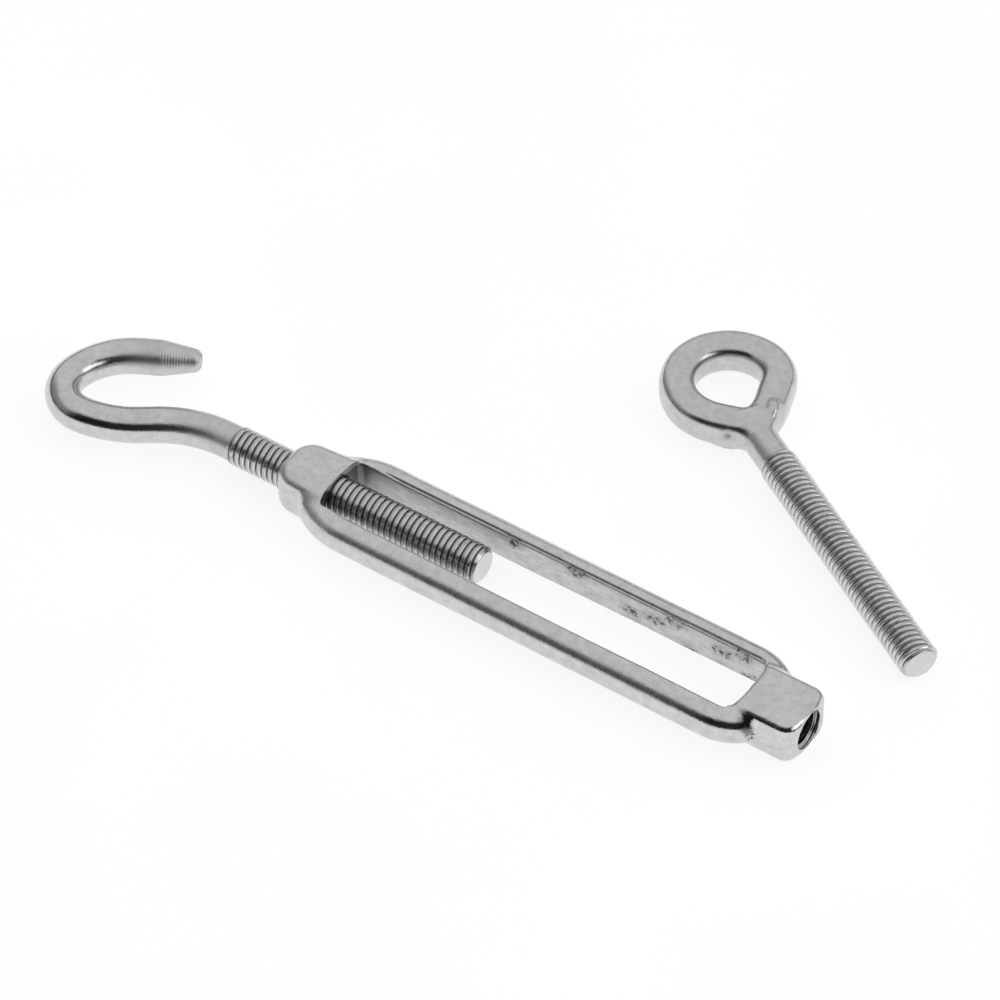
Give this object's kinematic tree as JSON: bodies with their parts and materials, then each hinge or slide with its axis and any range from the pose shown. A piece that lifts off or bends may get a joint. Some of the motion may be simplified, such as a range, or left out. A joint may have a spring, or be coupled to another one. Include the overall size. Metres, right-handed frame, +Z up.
{
  "type": "rigging turnbuckle",
  "caption": "Open-body turnbuckle with a hook bolt screwed into one end and a loose eye bolt for the other, used to tension wire or rope.",
  "frame": {"origin": "on the flat underside of the boss at the hook end, below the thread axis", "axes": "+X runs along the thread axis from the hook end to the eye end, +Z is up from the surface that the pieces lie on"},
  "size_m": [0.1382, 0.0732, 0.0076],
  "materials": {
    "cast_body_metal": "bright plated steel, tumbled smooth outside, rougher as-cast inside the window",
    "hook_bolt_metal": "bright plated steel wire with a rolled thread",
    "eye_bolt_metal": "bright plated steel wire with a rolled thread and plated-over weld beads"
  },
  "bodies": {
    "hook_bolt": {"hook_bolt": "hook_bolt_metal"},
    "turnbuckle_body": {"turnbuckle_body": "cast_body_metal"},
    "eye_bolt": {"eye_bolt": "eye_bolt_metal"}
  },
  "joints": [
    {"name": "body_travel", "type": "slide", "parent": "hook_bolt", "child": "turnbuckle_body", "axis": [1, 0, 0], "range_m": [-0.008, 0.024]},
    {"name": "eye_bolt_swing", "type": "hinge", "parent": "hook_bolt", "child": "eye_bolt", "pos_m": [0.0874, 0.01035, 0.0034], "axis": [-0.0105, -0.0386, -0.9992], "range_deg": [0, 149.59]}
  ]
}
